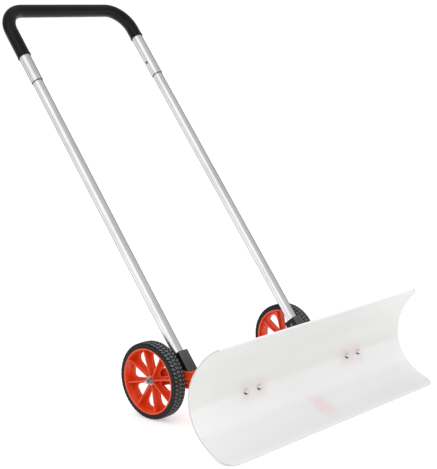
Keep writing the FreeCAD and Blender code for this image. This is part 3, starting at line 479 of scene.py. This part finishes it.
def tread_rows():
    """Places round one pitch, as shares of it, where a lug's edge or its foot stands."""
    wall = 0.06
    shoulder_lug = (0.00, 0.70)
    centre_lug = (0.42, 1.16)
    edges = set()
    for start, end in (shoulder_lug, centre_lug):
        edges |= {start % 1, (start + wall) % 1, (end - wall) % 1, end % 1}
    rows = sorted(round(edge, 4) for edge in edges)

    def on(lug, share):
        start, end = lug
        inside = (share - start - wall) % 1
        return inside <= (end - start - 2 * wall) + 1e-6
    return rows, lambda share: on(shoulder_lug, share), lambda share: on(centre_lug, share)


def tyre_section():
    """The section's outline as (across, radius, kind): kind says what a lug does to the point."""
    half = TYRE_HALF_WIDTH
    wall = [
        (half - LIP_WIDTH, RIM_SEAT, "side"),
        (half - LIP_WIDTH + 1 * MM, RIM_LIP, "side"),
        (half - 0.1 * MM, RIM_LIP, "side"),
        (half, RIM_LIP + 0.7 * MM, "side"),
        (half, RIM_LIP + 1.9 * MM, "side"),
        (half - 0.4 * MM, RIM_LIP + 2.4 * MM, "side"),
        (half - 0.4 * MM, RIM_LIP + 5.0 * MM, "side"),
        (half, RIM_LIP + 5.5 * MM, "side"),
        (half - 0.1 * MM, SHOULDER - 1.4 * MM, "edge"),
        (half - 0.9 * MM, SHOULDER, "edge"),
    ]
    tread = [
        (half - 2.2 * MM, SHOULDER + 1.4 * MM, "edge"),
        (half - 3.6 * MM, TREAD_FLOOR, "shoulder"),
        (7.2 * MM, TREAD_FLOOR, "shoulder"),
        (6.6 * MM, TREAD_FLOOR, "floor"),
        (5.4 * MM, TREAD_FLOOR, "floor"),
        (4.8 * MM, TREAD_FLOOR, "centre"),
        (0.7 * MM, TREAD_FLOOR, "centre"),
    ]
    right = wall + tread
    left = [(-across, radius, kind) for across, radius, kind in reversed(right)]
    return right + left


def rubber_at(kinds, shoulder_top, centre_top):
    """Which rubber a face between two section points shows: 0 on a lug's top, 1 on the sidewall, 2 in a groove."""
    if set(kinds) <= {"side", "edge"}:
        return 1
    raised = {"shoulder": shoulder_top, "centre": centre_top}
    tops = [raised[kind] for kind in kinds if kind in raised]
    return 0 if tops and all(tops) and "floor" not in kinds else 2


def make_tyre(word, materials):
    """A carcass with a chevron of lugs, swept round the wheel's axis as one closed skin."""
    node = f"tyre_{word}"
    centre = middle(node)
    rows, shoulder_on, centre_on = tread_rows()
    section = tyre_section()
    lug = {
        "shoulder": lambda share: shoulder_on(share) * (TREAD_TOP - TREAD_FLOOR),
        "centre": lambda share: centre_on(share) * (TREAD_TOP - TREAD_FLOOR),
        "edge": lambda share: shoulder_on(share) * EDGE_LUG,
        "floor": lambda share: 0.0,
        "side": lambda share: 0.0,
    }
    corners = []
    for pitch in range(PITCHES):
        for share in rows:
            for across, radius, kind in section:
                lean = CHEVRON * (1 - min(abs(across), TYRE_HALF_WIDTH) / TYRE_HALF_WIDTH) / TREAD_TOP
                turn = 2 * math.pi * (pitch + share) / PITCHES + lean
                reach = radius + lug[kind](share)
                if kind in ("shoulder", "centre", "floor"):
                    reach -= CROWN * (across / TYRE_HALF_WIDTH) ** 2
                corners.append(centre + Vector((across, reach * math.cos(turn), reach * math.sin(turn))))
    rubbers = []
    for row in range(PITCHES * len(rows)):
        share = rows[row % len(rows)] + PAST_EDGE
        for (_, _, kind), (_, _, following) in zip(section, section[1:] + section[:1]):
            rubbers.append(rubber_at((kind, following), shoulder_on(share), centre_on(share)))
    faces = swept_faces(PITCHES * len(rows), len(section))
    piece = outward(mesh_object(f"tyre_tread_{word}", corners, faces, materials, rubbers, smooth=False))
    piece.data.polygons.foreach_set("use_smooth", [rubber == 1 for rubber in rubbers])
    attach(piece, f"wheel_{word}")
    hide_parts(node)
    return piece


# ---------------------------------------------------------------- grip

class GripPath:
    """The grip's middle line: up the left leg, round a bend, along the bar, round and down the right leg."""

    def __init__(self):
        self.up = leg_up()
        self.side = Vector((1, 0, 0))
        self.facing = self.up.cross(self.side).normalized()
        left, right = middle("leg_tube_left"), middle("leg_tube_right")
        self.start = lower_end("handle_grip", GRIP_LIP)
        self.leg = (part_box("handle_grip")[1].z - GRIP_RADIUS - self.start.z) / self.up.z - GRIP_BEND
        self.curve = GRIP_BEND * math.pi / 2
        self.bar = right.x - left.x - 2 * GRIP_BEND
        self.total = 2 * self.leg - GRIP_OFFSET + 2 * self.curve + self.bar

    def at(self, reach):
        """The point at a distance along the line, and the direction across it in the U's plane."""
        lengths = (self.leg, self.curve, self.bar, self.curve, self.leg)
        point, angle = self.start.copy(), 0.0
        for length, bends in zip(lengths, (False, True, False, True, False)):
            step = min(reach, length)
            if bends:
                turn = step / GRIP_BEND
                centre = point + self.direction(angle + math.pi / 2) * GRIP_BEND
                angle += turn
                point = centre - self.direction(angle + math.pi / 2) * GRIP_BEND
            else:
                point = point + self.direction(angle) * step
            reach -= step
            if reach <= 0:
                break
        return point, self.direction(angle + math.pi / 2)

    def direction(self, angle):
        return self.up * math.cos(angle) + self.side * math.sin(angle)


def grip_outline(total):
    """The sleeve's section as (distance along, radius): out of the bore, over the lip, and back again."""
    roll = [(1.2, 14.05), (0.3, 14.4), (0.0, 15.0), (0.15, 16.0), (0.8, 16.6), (1.8, 16.8), (3.6, 16.75),
            (4.8, 16.3), (6.2, 16.0)]
    first = [(along * MM, radius * MM) for along, radius in roll]
    last = [(total - along, radius) for along, radius in reversed(first)]
    steps = 90
    start, end = first[-1][0], last[0][0]
    outer = [(start + (end - start) * i / steps, GRIP_RADIUS) for i in range(1, steps)]
    start, end = last[-1][0], first[0][0]
    inner = [(start + (end - start) * i / steps, GRIP_BORE) for i in range(1, steps)]
    return first + outer + last + inner


def make_grip(material):
    """A foam sleeve swept along the U, with rolled ends, as one closed skin."""
    path = GripPath()
    corners = []
    outline = grip_outline(path.total)
    for along, radius in outline:
        point, across = path.at(along)
        for i in range(GRIP_SIDES):
            turn = 2 * math.pi * i / GRIP_SIDES
            corners.append(point + (across * math.cos(turn) + path.facing * math.sin(turn)) * radius)
    faces = swept_faces(len(outline), GRIP_SIDES)
    piece = outward(mesh_object("grip_sleeve", corners, faces, [material]))
    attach(piece, "handle")
    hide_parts("handle_grip")
    return piece


# ---------------------------------------------------------------- stage

def make_floor(material):
    corners = [(x * FLOOR_REACH, y * FLOOR_REACH, 0) for x, y in ((-1, -1), (1, -1), (1, 1), (-1, 1))]
    mesh_object("floor", corners, [(0, 1, 2, 3)], [material], smooth=False)


def light_studio():
    """White surroundings, but reflections see SCREEN_STOPS: white a little to the camera's left, grey elsewhere."""
    world = bpy.data.worlds.new("studio")
    world.use_nodes = True
    bpy.context.scene.world = world
    tree = world.node_tree

    def node(kind, operation=None, **inputs):
        made = tree.nodes.new(kind)
        if operation:
            made.operation = operation
        for key, value in inputs.items():
            socket = made.inputs[int(key[1:])]
            if isinstance(value, bpy.types.NodeSocket):
                tree.links.new(value, socket)
            else:
                socket.default_value = value
        return made

    azimuth = math.radians(CAMERA_AZIMUTH)
    place = node("ShaderNodeTexCoord").outputs["Generated"]
    to_left = node("ShaderNodeVectorMath", "DOT_PRODUCT", i0=place, i1=(-math.cos(azimuth), -math.sin(azimuth), 0))
    to_camera = node("ShaderNodeVectorMath", "DOT_PRODUCT", i0=place, i1=(math.sin(azimuth), -math.cos(azimuth), 0))
    turn = node("ShaderNodeMath", "ARCTAN2", i0=to_left.outputs["Value"], i1=to_camera.outputs["Value"])
    share = node("ShaderNodeMapRange", i0=turn.outputs[0], i1=-math.pi, i2=math.pi)
    ramp = node("ShaderNodeValToRGB", i0=share.outputs[0])
    points = ramp.color_ramp.elements
    while len(points) < len(SCREEN_STOPS):
        points.new(0.5)
    for point, (where, grey) in zip(points, SCREEN_STOPS):
        point.position = where
        point.color = (grey, grey, grey * SCREEN_BLUE, 1)
    rays = node("ShaderNodeLightPath").outputs
    lit = node("ShaderNodeMix", i0=rays["Is Glossy Ray"])
    lit.data_type = "RGBA"
    lit.inputs[6].default_value = (1.0, 1.0, 1.0, 1)
    tree.links.new(ramp.outputs[0], lit.inputs[7])
    plain = tree.nodes["Background"]
    tree.links.new(lit.outputs[2], plain.inputs["Color"])
    plain.inputs["Strength"].default_value = WORLD_STRENGTH


def hang_panels():
    """Soft lamps aimed at the middle of the part, and left out of reflections."""
    target = (Vector(cad_box[0]) + Vector(cad_box[1])) / 2
    for name, place, size, power in PANELS:
        lamp = bpy.data.lights.new(name, "AREA")
        lamp.size = size
        lamp.energy = power
        panel = bpy.data.objects.new(name, lamp)
        bpy.context.scene.collection.objects.link(panel)
        panel.location = place
        panel.rotation_euler = (target - Vector(place)).to_track_quat("-Z", "Y").to_euler()
        panel.visible_glossy = False


def place_camera():
    azimuth, elevation, roll = (math.radians(a) for a in (CAMERA_AZIMUTH, CAMERA_ELEVATION, CAMERA_ROLL))
    back = Vector((math.sin(azimuth) * math.cos(elevation), -math.cos(azimuth) * math.cos(elevation),
                   math.sin(elevation)))
    level = Vector((math.cos(azimuth), math.sin(azimuth), 0))
    above = back.cross(level)
    right = level * math.cos(roll) + above * math.sin(roll)
    up = above * math.cos(roll) - level * math.sin(roll)
    data = bpy.data.cameras.new("camera")
    data.lens = CAMERA_LENS
    data.clip_end = CAMERA_REACH
    camera = bpy.data.objects.new("camera", data)
    bpy.context.scene.collection.objects.link(camera)
    turn = Matrix((right, up, back)).transposed().to_4x4()
    camera.matrix_world = Matrix.Translation(CAMERA_PLACE) @ turn
    bpy.context.scene.camera = camera


# ---------------------------------------------------------------- build

def make_all():
    finishes = dress_cad_nodes()
    side = dark_rubber("sidewall_rubber", srgb(18, 17, 17), srgb(30, 29, 29))
    groove = dark_rubber("groove_rubber", srgb(26, 26, 26), srgb(40, 39, 39))
    for word in ("left", "right"):
        make_tyre(word, [finishes["tyre_rubber"], side, groove])
    make_grip(finishes["grip_foam"])
    make_floor(floor_paper())
    light_studio()
    hang_panels()
    place_camera()
    bpy.context.scene.view_settings.view_transform = "Standard"


make_all()
